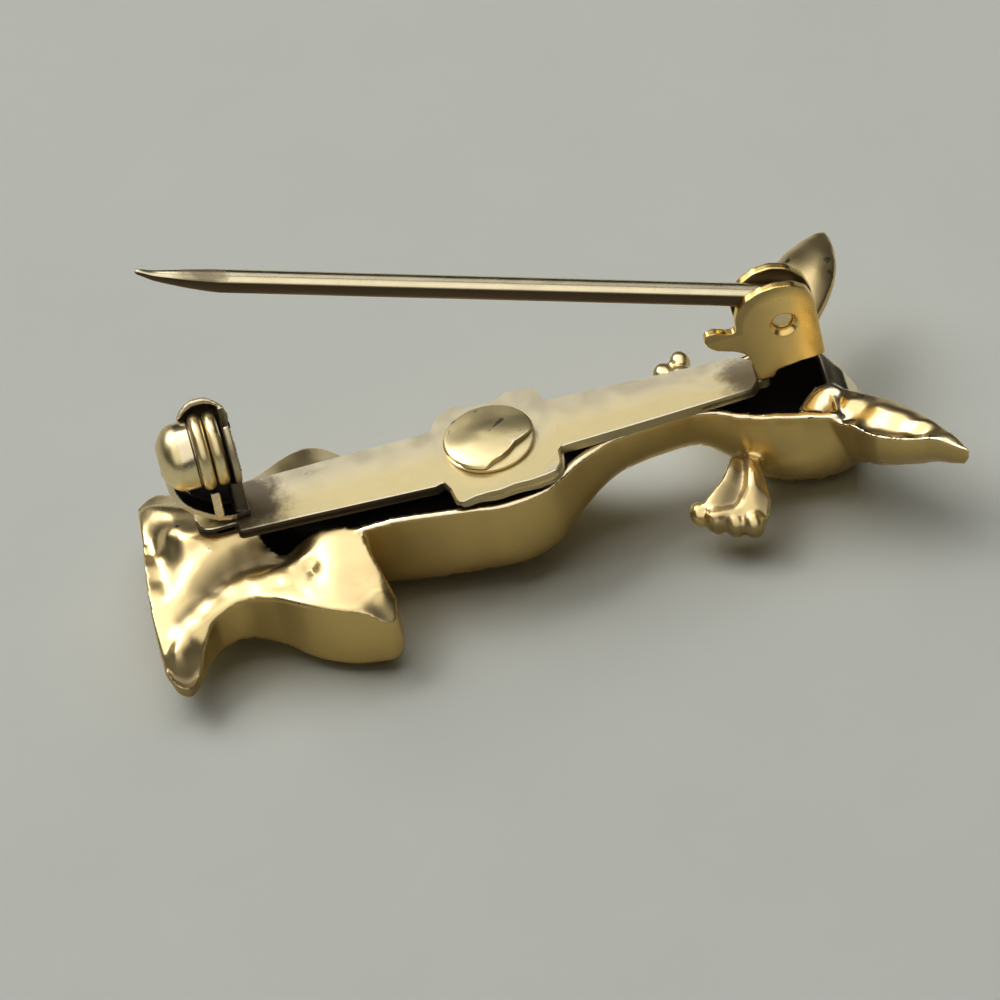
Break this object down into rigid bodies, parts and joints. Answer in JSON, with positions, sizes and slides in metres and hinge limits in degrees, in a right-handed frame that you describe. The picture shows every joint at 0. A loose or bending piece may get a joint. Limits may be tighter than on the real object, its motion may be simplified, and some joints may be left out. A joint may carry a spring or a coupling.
{
  "type": "figural animal brooch",
  "caption": "Cast figural animal brooch lying face down, with a riveted back bar, a hinged pin standing open and a turning roller catch.",
  "frame": {"origin": "on the surface that the face lies on, under the middle of the figure", "axes": "+X along the back bar towards the head and the hinge, +Y to the side away from the near ear, +Z out of the brooch's back"},
  "size_m": [0.0386, 0.0173, 0.0212],
  "materials": {
    "cast_gold": "gold-plated cast metal, smooth with hammered lumps, bright rims and darkened hollows",
    "bar_brass": "satin pale gold with dark stains at both ends",
    "rivet_brass": "satin, hammered edge",
    "bracket_gold": "warm polished gold plate",
    "axle_metal": "hammered, pale",
    "pin_gold": "polished wire, plating worn to grey at the point",
    "catch_band": "greyed, worn plating",
    "catch_barrel": "polished ribs, tarnished grooves"
  },
  "bodies": {
    "root": {"figure": "cast_gold", "back_bar": "bar_brass", "centre_rivet": "rivet_brass", "hinge_bracket": "bracket_gold", "hinge_axle": "axle_metal", "catch_housing": "catch_band"},
    "pin": {"pin_stem": "pin_gold"},
    "roller": {"catch_roller": "catch_barrel"}
  },
  "joints": [
    {"name": "pin_hinge", "type": "hinge", "parent": "root", "child": "pin", "pos_m": [0.01255, 0, 0.00876], "axis": [0, 1, 0], "range_deg": [-21.5, 75]},
    {"name": "roller_turn", "type": "hinge", "parent": "root", "child": "roller", "pos_m": [-0.0142, 0, 0.00976], "axis": [-1, 0, 0], "range_deg": [-100, 10]}
  ]
}
